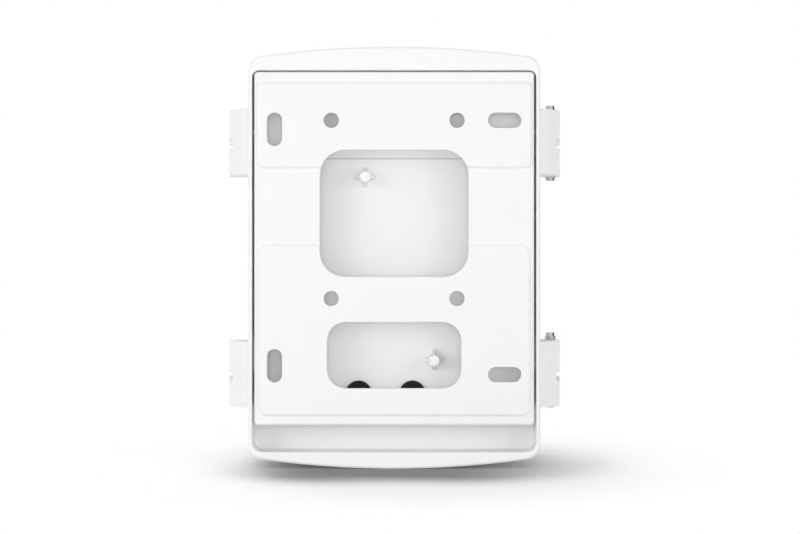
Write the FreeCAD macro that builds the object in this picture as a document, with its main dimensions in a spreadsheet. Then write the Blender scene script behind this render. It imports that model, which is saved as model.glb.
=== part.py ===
import FreeCAD, Part
import math
import os
import Sketcher

# Camera junction box: a cast box that hooks onto a wall plate, with a hinged door.
# Z is up, the wall is the plane Y = 0 and the box stands out of it towards -Y.
# The origin is the centre of the wall plate's four round holes. A depth is a
# distance from the wall, so a point at depth 20 has Y = -20.

document = FreeCAD.newDocument("camera_junction_box")
dim = document.addObject("Spreadsheet::Sheet", "dim")

SIZES = {
    # Outline shared by the box and the door, with arched top and bottom
    "half_width": 97,
    "box_top": 108.1,
    "box_low": -171.9,
    "arch_radius": 640,
    "corner_radius": 10,
    # Reach of a cutter past the face that it opens
    "past": 1,
    # Cast walls and the planes along the depth
    "wall": 3,
    "side_rim": 2.7,
    "rim_depth": 1.5,
    "floor_depth": 20,
    "parting_depth": 72,
    "parting_gap": 0.3,
    "door_depth": 105,
    "rim_round": 1.2,
    "door_round": 5,
    # Recess in the back of the box, which holds the wall plate
    "recess_crown": 15.8,
    "recess_foot": 11.1,
    "recess_corner": 4.8,
    "recess_foot_corner": 6.8,
    "step_inset": 7.3,
    "step_low": 35,
    "step_slope": 8,
    "step_rise": 11,
    # Wall plate
    "plate_side_gap": 1.5,
    "plate_top_gap": 0.9,
    "plate_corner": 2.6,
    "plate_low": -143,
    "sheet": 2.5,
    "pad_rise": 1.5,
    "pad_a_inset": 2.4,
    "pad_b_inset": 3.6,
    "pad_taper": 40,
    "pad_a_high": 83.2,
    "pad_a_low": 28.5,
    "pad_b_high": -24.6,
    "pad_b_low": -135.7,
    "pad_a_corner": 3,
    "pad_b_corner": 5,
    "hole_pitch_x": 83.3,
    "hole_pitch_z": 118,
    "hole_radius": 5,
    "slot_length": 22,
    "slot_radius": 5,
    "slot_share": 0.999,
    "slot_a_inset": 13.6,
    "slot_a_high": 53.1,
    "slot_a_low": -103.5,
    "slot_b_inset": 19.65,
    "slot_b_high": 59,
    "slot_b_low": -109.3,
    "window_half": 49.3,
    "window_high": 39.5,
    "window_low": -44.7,
    "window_corner": 17,
    "port_half": 44.5,
    "port_high": -74.5,
    "port_low": -118.5,
    "port_corner": 12.7,
    "flange_drop": 17,
    "flange_high": 78,
    "flange_low": -130,
    "bend_round": 1,
    # Pegs of the box and the hooks of the wall plate that carry them
    "peg_radius": 2.5,
    "peg_high": 52,
    "peg_low": -104,
    "peg_inset": 6,
    "peg_depth": 13.5,
    "hook_gap": 0.3,
    "lift": 14,
    # Screw posts of the gear plate, which show on the back of the box
    "post_a_x": 19.4,
    "post_a_z": 22.2,
    "post_b_x": -26.6,
    "post_b_z": -100.6,
    "post_disc": 3.6,
    "post_rise": 11,
    "gusset_rise": 8.8,
    "gusset_reach": 7,
    "gusset_thick": 2.4,
    "post_foot": 4.5,
    "post_height": 7,
    # Cable holes and their plugs
    "plug_left_x": 24,
    "plug_right_x": -12.2,
    "plug_z": -123.5,
    "cable_hole": 7.6,
    "plug_flange": 9.2,
    "plug_lip": 8.8,
    "plug_thick": 1.8,
    "plug_lip_height": 2.7,
    "plug_nose": 6,
    "plug_gap": 0.1,
    # Hinge lugs
    "lug_pitch": 160,
    "lug_length": 45,
    "lug_back": 30,
    "lug_flat": 8.2,
    "lug_slope_back": 18,
    "lug_tuck": 1.9,
    "lug_wall": 3.2,
    "lug_flat_wall": 3.8,
    "lug_bend_inset": 1.6,
    "lug_bevel": 1,
    "lug_web_rise": 2,
    "pin_reach": 13,
    "pin_back": 4,
    "knuckle_radius": 6.7,
    "knuckle_gap": 3.2,
    "collar_radius": 3.6,
    "knuckle_offset": 0.1,
    "window_rise": 2.3,
    "window_drop": 4.6,
    "window_reach": 4.8,
    "arm_rear": 3,
    "arm_front": 14,
    # Hinge screws
    "pin_radius": 1.5,
    "pin_clearance": 0.1,
    "pin_head_radius": 3.3,
    "pin_head_height": 3.9,
    "pin_socket": 2,
    "pin_socket_across": 2.5,
    "pin_flange_radius": 3.9,
    "pin_flange_height": 0.9,
    "running_gap": 0.3,
    "nut_across": 5.5,
    "nut_height": 2,
    "nut_flange": 0.8,
    "nut_flange_radius": 3.9,
    "pin_tail": 0.2,
    # Seal between box and door
    "tongue_offset": 1.9,
    "tongue_height": 2,
    "groove_offset": 1.5,
    "groove_inner": 4.5,
    "groove_depth": 5.7,
    "seal_side_gap": 0.1,
    "rim_band": 5.8,
    # Door
    "door_skin": 3.5,
    "bracket_half_x": 58,
    "bracket_half_z": 76,
    "bracket_corner": 12,
    "bracket_rise": 2,
    "bracket_hole": 2.5,
    "bracket_hole_depth": 11,
    "bracket_post": 5.5,
    "bracket_post_height": 9,
    "front_hole": 16,
    "front_collar": 20,
    "front_plug_lip": 18,
    # Door screws
    "screw_inset": 12,
    "screw_rise": 118,
    "screw_radius": 2.4,
    "screw_head_radius": 4.5,
    "screw_head_height": 4,
    "screw_sink": 4.6,
    "screw_socket": 2,
    "screw_socket_across": 4,
    "thread_reach": 6,
    "thread_gap": 0.5,
    "column_radius": 6,
    "sleeve_radius": 6.4,
    "release": 7,
    "retainer_lift": 2,
    "retainer_thick": 1,
    "retainer_radius": 4.2,
    # Gear plate and what it carries
    "gear_thick": 1.5,
    "gear_half": 60,
    "gear_high": 62,
    "gear_low": -108,
    "gear_corner": 6,
    "gear_screw_radius": 1.95,
    "gear_screw_head": 4,
    "gear_screw_height": 2.6,
    "gear_screw_length": 16,
    "hole_clearance": 0.2,
    "block_x": -12,
    "block_z": 0,
    "pole_pitch": 10.5,
    "pole_count": 5,
    "block_end": 7,
    "block_height": 18,
    "block_half_z": 11,
    "block_foot_half": 6.6,
    "block_top_half": 5.5,
    "block_shoulder": 8,
    "block_land": 4,
    "screw_well": 2.5,
    "clamp_side": 5,
    "clamp_gap": 0.2,
    "clamp_bore": 1.7,
    "clamp_half": 9,
    "thread_slack": 0.05,
    "terminal_screw": 1.6,
    "terminal_neck": 3,
    "terminal_head": 2.3,
    "terminal_head_height": 2,
    "nick_share": 0.3,
    "nick_reach": 2.2,
    "fixing_radius": 1.6,
    "fixing_head": 2.9,
    "fixing_head_height": 1.8,
    "fixing_tail": 2,
    "earth_x": 38,
    "earth_z": -52,
    "earth_radius": 3,
    "earth_length": 16,
    "earth_head": 4.5,
    "earth_head_height": 1.5,
    "earth_across": 10,
    "earth_nut": 5,
    "earth_washer": 6.2,
    "earth_washer_thick": 1.2,
    "washer_gap": 0.1,
    "saddle_z": -88,
    "saddle_half": 14,
    "saddle_width": 9,
    "saddle_thick": 1.6,
    "saddle_bore": 4.4,
    "saddle_foot_corner": 0.2,
    "saddle_way_corner": 4,
    "saddle_pitch": 10.6,
}

for row, (alias, amount) in enumerate(SIZES.items(), start=1):
    dim.set(f"A{row}", alias)
    dim.set(f"B{row}", str(amount))
    dim.setAlias(f"B{row}", alias)
document.recompute()

# Lengths that several pieces share, each made from the sizes above
CENTRE = "(dim.box_top + dim.box_low) / 2"
RECESS_HALF = "(dim.half_width - dim.side_rim)"
RECESS_HIGH = "(dim.box_top - dim.recess_crown)"
RECESS_LOW = "(dim.box_low + dim.recess_foot)"
STEP_HALF = f"({RECESS_HALF} - dim.step_inset)"
PLATE_HALF = f"({RECESS_HALF} - dim.plate_side_gap)"
PLATE_HIGH = f"({RECESS_HIGH} - dim.plate_top_gap)"
PIN_X = "(dim.half_width + dim.pin_reach)"
PIN_DEPTH = "(dim.parting_depth - dim.pin_back)"
LUG_DEPTH = f"({PIN_DEPTH} - dim.lug_back)"
SLOPE_DEPTH = f"({PIN_DEPTH} - dim.lug_slope_back)"
SCREW_X = "(dim.half_width - dim.screw_inset)"
RETAINER_BACK = "(dim.parting_depth + dim.retainer_lift)"
SLEEVE_END = f"({RETAINER_BACK} + dim.retainer_thick + dim.release + dim.running_gap * 2)"
LUG_HIGH = f"{CENTRE} + dim.lug_pitch / 2"
LUG_LOW = f"{CENTRE} - dim.lug_pitch / 2"
FLOOR_INNER = "dim.floor_depth + dim.wall"
GEAR_BACK = f"{FLOOR_INNER} + dim.post_height"
GEAR_FRONT = f"{GEAR_BACK} + dim.gear_thick"
DOOR_BACK = "dim.parting_depth + dim.parting_gap"
DOOR_INNER = "dim.door_depth - dim.door_skin"
BRACKET_FRONT = "dim.door_depth + dim.bracket_rise"
SCREWS = [(CENTRE + " + dim.screw_rise", "upper"), (CENTRE + " - dim.screw_rise", "lower")]
POSTS = [("dim.post_a_x", "dim.post_a_z"), ("dim.post_b_x", "dim.post_b_z")]
PLUGS = [("dim.plug_left_x", "left"), ("dim.plug_right_x", "right")]
SIDES = ("", "-")

ORIGIN_POINT = (-1, 1)
VERTICAL_AXIS = -2
FLAT, UPRIGHT, SIDE = "XZ_Plane", "XY_Plane", "YZ_Plane"


def value(expression):
    """The number that an expression on the sheet gives."""
    return float(dim.evalExpression(expression))


def point(x, y):
    return FreeCAD.Vector(x, y, 0)


def name_and_bind(sketch, constraint, expression):
    index = sketch.addConstraint(constraint)
    label = f"size_{index}"
    sketch.renameConstraint(index, label)
    sketch.setExpression(f"Constraints.{label}", expression)


def pin_point(sketch, geometry, end, x, y):
    """Ties one point of the sketch to a place given by two expressions."""
    if x is not None:
        name_and_bind(sketch, Sketcher.Constraint(
            "DistanceX", *ORIGIN_POINT, geometry, end, value(x)), x)
    if y is not None:
        name_and_bind(sketch, Sketcher.Constraint(
            "DistanceY", *ORIGIN_POINT, geometry, end, value(y)), y)


def polygon(*corners):
    """A closed outline of straight lines through the given corners."""
    def draw(sketch):
        first = sketch.GeometryCount
        count = len(corners)
        places = [point(value(x), value(y)) for x, y in corners]
        for i in range(count):
            sketch.addGeometry(Part.LineSegment(places[i], places[(i + 1) % count]), False)
        for i in range(count):
            sketch.addConstraint(Sketcher.Constraint(
                "Coincident", first + i, 2, first + (i + 1) % count, 1))
        for i, (x, y) in enumerate(corners):
            pin_point(sketch, first + i, 1, x, y)
    return draw


def rectangle(left, right, low, high):
    return polygon((left, low), (right, low), (right, high), (left, high))


def circle(x, y, radius):
    def draw(sketch):
        index = sketch.addGeometry(Part.Circle(
            point(value(x), value(y)), FreeCAD.Vector(0, 0, 1), value(radius)), False)
        pin_point(sketch, index, 3, x, y)
        name_and_bind(sketch, Sketcher.Constraint("Radius", index, value(radius)), radius)
    return draw


def arc(centre, radius, start, end):
    """An arc that runs anticlockwise between two angles in degrees."""
    whole = Part.Circle(centre, FreeCAD.Vector(0, 0, 1), radius)
    return Part.ArcOfCircle(whole, math.radians(start), math.radians(end))


def join_smoothly(sketch, first, count):
    """Tangent joints all round a closed outline of lines and arcs."""
    for i in range(count):
        sketch.addConstraint(Sketcher.Constraint(
            "Tangent", first + i, 2, first + (i + 1) % count, 1))


def rounded(left, right, low, high, low_corner, high_corner=None):
    """A rectangle with rounded corners, which may differ at the top."""
    high_corner = high_corner or low_corner

    def draw(sketch):
        x0, x1, y0, y1 = value(left), value(right), value(low), value(high)
        a, b = value(low_corner), value(high_corner)
        first = sketch.GeometryCount
        pieces = [
            Part.LineSegment(point(x0 + a, y0), point(x1 - a, y0)),
            arc(point(x1 - a, y0 + a), a, -90, 0),
            Part.LineSegment(point(x1, y0 + a), point(x1, y1 - b)),
            arc(point(x1 - b, y1 - b), b, 0, 90),
            Part.LineSegment(point(x1 - b, y1), point(x0 + b, y1)),
            arc(point(x0 + b, y1 - b), b, 90, 180),
            Part.LineSegment(point(x0, y1 - b), point(x0, y0 + a)),
            arc(point(x0 + a, y0 + a), a, 180, 270),
        ]
        for piece in pieces:
            sketch.addGeometry(piece, False)
        join_smoothly(sketch, first, len(pieces))
        for line, kind in ((0, "Horizontal"), (2, "Vertical"), (4, "Horizontal"), (6, "Vertical")):
            sketch.addConstraint(Sketcher.Constraint(kind, first + line))
        pin_point(sketch, first, 1, None, low)
        pin_point(sketch, first + 2, 1, right, None)
        pin_point(sketch, first + 4, 1, None, high)
        pin_point(sketch, first + 6, 1, left, None)
        for corner, size in ((1, low_corner), (3, high_corner), (5, high_corner), (7, low_corner)):
            name_and_bind(sketch, Sketcher.Constraint(
                "Radius", first + corner, value(size)), size)
    return draw


def slot(x, y, length, radius, upright):
    """A hole with half-round ends, centred on a point."""
    half = f"({length}) / 2"
    across, along = (radius, half) if upright else (half, radius)
    return rounded(f"{x} - {across}", f"{x} + {across}", f"{y} - {along}", f"{y} + {along}",
                   f"{radius} * dim.slot_share")


def outline(offset):
    """The outline of the box, drawn inwards by an offset."""
    def draw(sketch):
        inset = value(offset)
        w = value("dim.half_width") - inset
        r = value("dim.corner_radius") - inset
        big = value("dim.arch_radius") - inset
        top = value("dim.box_top") - inset
        low = value("dim.box_low") + inset
        rise = math.sqrt((big - r) ** 2 - (w - r) ** 2)
        lean = math.degrees(math.asin((w - r) / (big - r)))
        high_y, low_y = top - big + rise, low + big - rise
        first = sketch.GeometryCount
        pieces = [
            Part.LineSegment(point(w, low_y), point(w, high_y)),
            arc(point(w - r, high_y), r, 0, 90 - lean),
            arc(point(0, top - big), big, 90 - lean, 90 + lean),
            arc(point(r - w, high_y), r, 90 + lean, 180),
            Part.LineSegment(point(-w, high_y), point(-w, low_y)),
            arc(point(r - w, low_y), r, 180, 270 - lean),
            arc(point(0, low + big), big, 270 - lean, 270 + lean),
            arc(point(w - r, low_y), r, 270 + lean, 360),
        ]
        for piece in pieces:
            sketch.addGeometry(piece, False)
        join_smoothly(sketch, first, len(pieces))
        for line in (0, 4):
            sketch.addConstraint(Sketcher.Constraint("Vertical", first + line))
        pin_point(sketch, first, 1, f"dim.half_width - ({offset})", None)
        pin_point(sketch, first + 4, 1, f"({offset}) - dim.half_width", None)
        for corner in (1, 3, 5, 7):
            name_and_bind(sketch, Sketcher.Constraint("Radius", first + corner, r),
                          f"dim.corner_radius - ({offset})")
        for arch in (2, 6):
            name_and_bind(sketch, Sketcher.Constraint("Radius", first + arch, big),
                          f"dim.arch_radius - ({offset})")
            sketch.addConstraint(Sketcher.Constraint(
                "PointOnObject", first + arch, 3, VERTICAL_AXIS))
        pin_point(sketch, first + 2, 3, None, "dim.box_top - dim.arch_radius")
        pin_point(sketch, first + 6, 3, None, "dim.box_low + dim.arch_radius")
    return draw


def crown(half, offset, floor):
    """What lies between a level line and the inset arch, within a half width."""
    def draw(sketch):
        inset = value(offset)
        w = value(half)
        base = value(floor)
        big = value("dim.arch_radius") - inset
        centre = value("dim.box_top") - value("dim.arch_radius")
        side = centre + math.sqrt(big ** 2 - w ** 2)
        lean = math.degrees(math.asin(w / big))
        first = sketch.GeometryCount
        sketch.addGeometry(Part.LineSegment(point(-w, base), point(w, base)), False)
        sketch.addGeometry(Part.LineSegment(point(w, base), point(w, side)), False)
        sketch.addGeometry(arc(point(0, centre), big, 90 - lean, 90 + lean), False)
        sketch.addGeometry(Part.LineSegment(point(-w, side), point(-w, base)), False)
        for i in range(4):
            sketch.addConstraint(Sketcher.Constraint(
                "Coincident", first + i, 2, first + (i + 1) % 4, 1))
        pin_point(sketch, first, 1, f"-({half})", floor)
        pin_point(sketch, first, 2, half, floor)
        sketch.addConstraint(Sketcher.Constraint("Vertical", first + 1))
        sketch.addConstraint(Sketcher.Constraint("Vertical", first + 3))
        pin_point(sketch, first + 2, 3, "0", "dim.box_top - dim.arch_radius")
        name_and_bind(sketch, Sketcher.Constraint("Radius", first + 2, big),
                      f"dim.arch_radius - ({offset})")
    return draw


def new_body(node):
    body = document.addObject("PartDesign::Body", node)
    body.Label = node
    return body


def new_sketch(body, name, plane, start, drawings):
    """A sketch on one of the body's own planes, moved along that plane's normal."""
    sketch = body.newObject("Sketcher::SketchObject", name + "_sketch")
    support = [f for f in body.Origin.OriginFeatures if f.Role == plane][0]
    sketch.AttachmentSupport = [(support, "")]
    sketch.MapMode = "FlatFace"
    sketch.setExpression("AttachmentOffset.Base.z", start)
    for draw in drawings:
        draw(sketch)
    return sketch


def volume(body):
    return body.Shape.Volume if body.Tip and not body.Shape.isNull() else 0.0


def add(body, name, plane, start, length, *drawings, taper=None, back=False):
    """A pad that grows along the plane's normal, or against it with back."""
    before = volume(body)
    pad = body.newObject("PartDesign::Pad", name)
    pad.Profile = new_sketch(body, name, plane, start, drawings)
    pad.setExpression("Length", length)
    pad.Reversed = back
    pad.Refine = False
    if taper:
        pad.setExpression("TaperAngle", f"-({taper})")
    document.recompute()
    if volume(body) <= before:
        raise RuntimeError(f"{body.Label}: {name} adds nothing")
    return pad


def cut(body, name, plane, start, length, *drawings, taper=None, back=False):
    """A pocket that goes along the plane's normal, or against it with back."""
    before = volume(body)
    pocket = body.newObject("PartDesign::Pocket", name)
    pocket.Profile = new_sketch(body, name, plane, start, drawings)
    pocket.setExpression("Length", length)
    pocket.Reversed = not back
    pocket.Refine = False
    if taper:
        pocket.setExpression("TaperAngle", f"-({taper})")
    document.recompute()
    if volume(body) >= before:
        raise RuntimeError(f"{body.Label}: {name} cuts nothing")
    return pocket


def on_edges(body, kind, name, field, size, chosen):
    """A fillet or a chamfer on every edge that the chosen test picks."""
    tip = body.Tip
    edges = [f"Edge{i}" for i, edge in enumerate(tip.Shape.Edges, start=1) if chosen(edge)]
    if not edges:
        raise RuntimeError(f"{body.Label}: {name} finds no edge")
    feature = body.newObject(kind, name)
    feature.Base = (tip, edges)
    feature.setExpression(field, size)
    document.recompute()
    return feature


def smooth(body, name, radius, chosen):
    return on_edges(body, "PartDesign::Fillet", name, "Radius", radius, chosen)


def bevel(body, name, size, chosen):
    return on_edges(body, "PartDesign::Chamfer", name, "Size", size, chosen)


def turned(body, name, x, z, *stations, groove=False):
    """A round piece about an axis along the depth, from (radius, depth) stations."""
    corners = [(f"({x}) + ({radius})", f"-({depth})") for radius, depth in stations]
    kind = "PartDesign::Groove" if groove else "PartDesign::Revolution"
    sketch = new_sketch(body, name, UPRIGHT, z, [polygon(*corners)])
    axis = sketch.addGeometry(Part.LineSegment(point(value(x), 0), point(value(x), -1)), True)
    pin_point(sketch, axis, 1, x, "0")
    pin_point(sketch, axis, 2, x, "-1")
    feature = body.newObject(kind, name)
    feature.Profile = sketch
    feature.ReferenceAxis = (sketch, ["Axis0"])
    feature.Angle = 360
    document.recompute()
    return feature


def at_depth(edge, depth):
    box = edge.BoundBox
    return abs(box.YMin + depth) < 0.01 and abs(box.YMax + depth) < 0.01


# Wall plate: one sheet, with two embossed pads that bear on the wall and a hooked
# flange down each side

plate = new_body("wall_plate")
SHEET_FRONT = "dim.pad_rise + dim.sheet"
PADS = [
    ("upper", f"({PLATE_HALF} - dim.pad_a_inset)", "dim.pad_a_low", "dim.pad_a_high",
     "dim.pad_a_corner"),
    ("lower", f"({PLATE_HALF} - dim.pad_b_inset)", "dim.pad_b_low", "dim.pad_b_high",
     "dim.pad_b_corner"),
]
add(plate, "web", FLAT, "dim.pad_rise", "dim.sheet",
    rounded(f"-{PLATE_HALF}", PLATE_HALF, "dim.plate_low", PLATE_HIGH, "dim.plate_corner"))
add(plate, "flanges", FLAT, SHEET_FRONT, "dim.flange_drop - dim.sheet",
    *[rectangle(f"{sign}({PLATE_HALF} - dim.sheet)", f"{sign}{PLATE_HALF}",
                "dim.flange_low", "dim.flange_high") for sign in SIDES])
bevel(plate, "side_bends", "dim.bend_round", lambda edge: at_depth(edge, value("dim.pad_rise"))
      and abs(abs(edge.CenterOfMass.x) - value(PLATE_HALF)) < 0.01)
for name, half, low, high, corner in PADS:
    reach = "dim.pad_rise * tan(dim.pad_taper * 1 deg)"
    add(plate, f"{name}_pad", FLAT, "dim.pad_rise", "dim.pad_rise",
        rounded(f"-{half} - {reach}", f"{half} + {reach}", f"{low} - {reach}",
                f"{high} + {reach}", f"{corner} + {reach}"), taper="dim.pad_taper", back=True)
    cut(plate, f"{name}_pad_hollow", FLAT, SHEET_FRONT, "dim.pad_rise",
        rounded(f"-{half} + dim.pad_rise", f"{half} - dim.pad_rise",
                f"{low} + dim.pad_rise", f"{high} - dim.pad_rise", corner),
        taper="dim.pad_taper / 2", back=True)
cut(plate, "fixing_holes", FLAT, "-dim.sheet", "dim.sheet * 4",
    *[circle(f"{x}dim.hole_pitch_x / 2", f"{z}dim.hole_pitch_z / 2", "dim.hole_radius")
      for x in SIDES for z in SIDES],
    *[slot(f"({PLATE_HALF} - dim.slot_a_inset)", z, "dim.slot_length", "dim.slot_radius",
           True)
      for z in ("dim.slot_a_high", "dim.slot_a_low")],
    *[slot(f"(dim.slot_b_inset - {PLATE_HALF})", z, "dim.slot_length", "dim.slot_radius",
           False)
      for z in ("dim.slot_b_high", "dim.slot_b_low")])
cut(plate, "cable_windows", FLAT, "-dim.sheet", "dim.sheet * 4",
    rounded("-dim.window_half", "dim.window_half", "dim.window_low", "dim.window_high",
            "dim.window_corner"),
    rounded("-dim.port_half", "dim.port_half", "dim.port_low", "dim.port_high",
            "dim.port_corner"))
RUN = "dim.peg_radius + dim.hook_gap"
FLANGE_TIP = "dim.pad_rise + dim.flange_drop"
for name, peg in (("upper", "dim.peg_high"), ("lower", "dim.peg_low")):
    cut(plate, f"{name}_hooks", SIDE, "-dim.half_width", "dim.half_width * 2", polygon(
        (f"-dim.peg_depth - ({RUN})", f"{peg} - ({RUN})"),
        (f"-dim.peg_depth + ({RUN})", f"{peg} - ({RUN})"),
        (f"-dim.peg_depth + ({RUN})", f"{peg} + dim.lift + {RUN}"),
        (f"-({FLANGE_TIP}) - dim.past", f"{peg} + dim.lift + {RUN}"),
        (f"-({FLANGE_TIP}) - dim.past", f"{peg} + dim.lift - ({RUN})"),
        (f"-dim.peg_depth - ({RUN})", f"{peg} + dim.lift - ({RUN})")))

# Box: an aluminium casting, open to the front, with a recess in its back

box = new_body("rear_box")
add(box, "shell", FLAT, "dim.rim_depth", "dim.parting_depth - dim.rim_depth", outline("0"))
bevel(box, "rear_edge", "dim.rim_round", lambda edge: at_depth(edge, value("dim.rim_depth")))
add(box, "seal_tongue", FLAT, "dim.parting_depth", "dim.tongue_height",
    outline("dim.tongue_offset"))
cut(box, "inside", FLAT, FLOOR_INNER,
    f"dim.parting_depth + dim.tongue_height - ({FLOOR_INNER})", outline("dim.wall"))
cut(box, "recess", FLAT, "0", "dim.floor_depth",
    rounded(f"-{RECESS_HALF}", RECESS_HALF, RECESS_LOW, RECESS_HIGH,
            "dim.recess_foot_corner", "dim.recess_corner"))
STEP_TOP = "dim.floor_depth - dim.step_rise"
add(box, "recess_step", SIDE, f"-{STEP_HALF}", f"{STEP_HALF} * 2", polygon(
    ("-dim.floor_depth", "dim.step_low"), (f"-({STEP_TOP})", "dim.step_low + dim.step_slope"),
    (f"-({STEP_TOP})", f"{RECESS_HIGH} + dim.wall / 2"),
    ("-dim.floor_depth", f"{RECESS_HIGH} + dim.wall / 2")))
cut(box, "step_hollow", SIDE, f"dim.wall - {STEP_HALF}", f"({STEP_HALF} - dim.wall) * 2", polygon(
    (f"-({FLOOR_INNER})", "dim.step_low + dim.wall / 2"),
    (f"-({STEP_TOP}) - dim.wall", "dim.step_low + dim.wall / 2 + dim.step_slope"),
    (f"-({STEP_TOP}) - dim.wall", f"{RECESS_HIGH} - dim.wall"),
    (f"-({FLOOR_INNER})", f"{RECESS_HIGH} - dim.wall")))
cut(box, "crown_hollow", FLAT, FLOOR_INNER, f"{FLOOR_INNER} - dim.rim_depth - dim.wall",
    crown("dim.half_width - dim.corner_radius", "dim.wall", f"{RECESS_HIGH} + dim.wall"),
    back=True)
for index, (x, z) in enumerate(POSTS, start=1):
    add(box, f"post_{index}_disc", FLAT, "dim.floor_depth", "dim.post_rise",
        circle(x, z, "dim.post_disc"), back=True)
    for turn, plane, start in (("upright", SIDE, x), ("level", UPRIGHT, z)):
        across = z if turn == "upright" else x
        foot, tip = "-dim.floor_depth", "dim.gusset_rise - dim.floor_depth"
        shape = [(foot, f"{across} - dim.gusset_reach"), (foot, f"{across} + dim.gusset_reach"),
                 (tip, f"{across} + dim.post_disc"), (tip, f"{across} - dim.post_disc")]
        if turn == "level":
            shape = [(b, a) for a, b in shape]
        add(box, f"post_{index}_{turn}_gusset", plane, f"{start} - dim.gusset_thick / 2",
            "dim.gusset_thick", polygon(*shape))
add(box, "gear_posts", FLAT, FLOOR_INNER, "dim.post_height",
    *[circle(x, z, "dim.post_foot") for x in ("dim.post_a_x", "dim.post_b_x")
      for z in ("dim.post_a_z", "dim.post_b_z")])
cut(box, "gear_screw_holes", FLAT, GEAR_BACK, "dim.gear_screw_length",
    *[circle(x, z, "dim.gear_screw_radius + dim.thread_slack") for x, z in POSTS], back=True)
cut(box, "cable_holes", FLAT, FLOOR_INNER, "dim.wall * 2",
    *[circle(x, "dim.plug_z", "dim.cable_hole") for x, _ in PLUGS], back=True)
for z, name in SCREWS:
    add(box, f"{name}_column", FLAT, FLOOR_INNER, f"dim.parting_depth - ({FLOOR_INNER})",
        circle(SCREW_X, z, "dim.column_radius"))
    add(box, f"{name}_column_web", FLAT, FLOOR_INNER, f"dim.parting_depth - ({FLOOR_INNER})",
        rectangle(SCREW_X, "dim.half_width - dim.wall / 2", f"{z} - dim.wall / 2",
                  f"{z} + dim.wall / 2"))
cut(box, "column_threads", FLAT, "dim.parting_depth", "dim.thread_reach * 2",
    *[circle(SCREW_X, z, "dim.screw_radius + dim.thread_gap") for z, _ in SCREWS], back=True)

# Pegs that hang in the hooks of the wall plate
for side, start, back in (("left", "dim.half_width - dim.side_rim / 2", True),
                          ("right", "dim.side_rim / 2 - dim.half_width", False)):
    add(box, f"{side}_pegs", SIDE, start, "dim.peg_inset + dim.side_rim / 2",
        *[circle("-dim.peg_depth", z, "dim.peg_radius") for z in ("dim.peg_high", "dim.peg_low")],
        back=back)


KNUCKLE_FOOT = "dim.lug_length / 2 - dim.knuckle_gap - dim.knuckle_offset"
RIM = f"({PIN_X} + dim.knuckle_radius)"


def lug_profile(sign, solid):
    """A lug seen from above: a sloped back wall, and with solid the knuckle too."""
    inner = f"{sign}(dim.half_width - dim.wall / 2)"
    flat = f"{sign}(dim.half_width + dim.lug_flat)"
    edge = f"{sign}({RIM} - dim.lug_tuck)"
    corners = [(inner, f"-{LUG_DEPTH}"), (flat, f"-{LUG_DEPTH}"), (edge, f"-{SLOPE_DEPTH}")]
    if solid:
        corners += [(f"{sign}{RIM}", f"-{PIN_DEPTH}"),
                    (f"{sign}({PIN_X} - dim.knuckle_radius)", f"-{PIN_DEPTH}"),
                    (inner, f"-{PIN_DEPTH} + dim.lug_web_rise")]
    else:
        corners += [(edge, f"-{SLOPE_DEPTH} - dim.lug_wall"),
                    (f"{sign}(dim.half_width + dim.lug_flat - dim.lug_bend_inset)",
                     f"-{LUG_DEPTH} - dim.lug_flat_wall"),
                    (inner, f"-{LUG_DEPTH} - dim.lug_flat_wall")]
    return polygon(*corners)


for level, middle in (("upper", LUG_HIGH), ("lower", LUG_LOW)):
    base = f"{middle} - dim.lug_length / 2"
    add(box, f"{level}_lug_backs", UPRIGHT, base, "dim.lug_length",
        *[lug_profile(sign, False) for sign in SIDES])
    add(box, f"{level}_lugs", UPRIGHT, base, KNUCKLE_FOOT,
        *[lug_profile(sign, True) for sign in SIDES])
    add(box, f"{level}_knuckles", UPRIGHT, base, KNUCKLE_FOOT,
        *[circle(f"{sign}{PIN_X}", f"-{PIN_DEPTH}", "dim.knuckle_radius") for sign in SIDES])
    add(box, f"{level}_collars", UPRIGHT, f"{base} + {KNUCKLE_FOOT}",
        "dim.knuckle_gap - dim.running_gap",
        *[circle(f"{sign}{PIN_X}", f"-{PIN_DEPTH}", "dim.collar_radius") for sign in SIDES])
    cut(box, f"{level}_pin_bores", UPRIGHT, base, "dim.lug_length",
        *[circle(f"{sign}{PIN_X}", f"-{PIN_DEPTH}", "dim.pin_radius + dim.pin_clearance")
          for sign in SIDES])
    notches = [rectangle(f"{sign}({RIM} - dim.window_reach)", f"{sign}({RIM} + dim.past)",
                         f"{middle} - dim.window_drop", f"{middle} + dim.window_rise")
               for sign in SIDES]
    for turn in SIDES:
        tip = f"{middle} + {turn}(dim.lug_length / 2)"
        notches += [polygon((f"{sign}({RIM} - dim.lug_tuck - dim.lug_bevel)", tip),
                            (f"{sign}({RIM} + dim.lug_tuck)", tip),
                            (f"{sign}({RIM} + dim.lug_tuck)",
                             f"{tip} - {turn}(dim.lug_bevel + 2 * dim.lug_tuck)"))
                    for sign in SIDES]
    cut(box, f"{level}_lug_notches", FLAT, f"{LUG_DEPTH} - dim.past",
        f"{PIN_DEPTH} - {LUG_DEPTH} - dim.knuckle_radius", *notches)

# Door: the same outline, cast with four knuckles, a seal groove and a bracket pad

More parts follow.
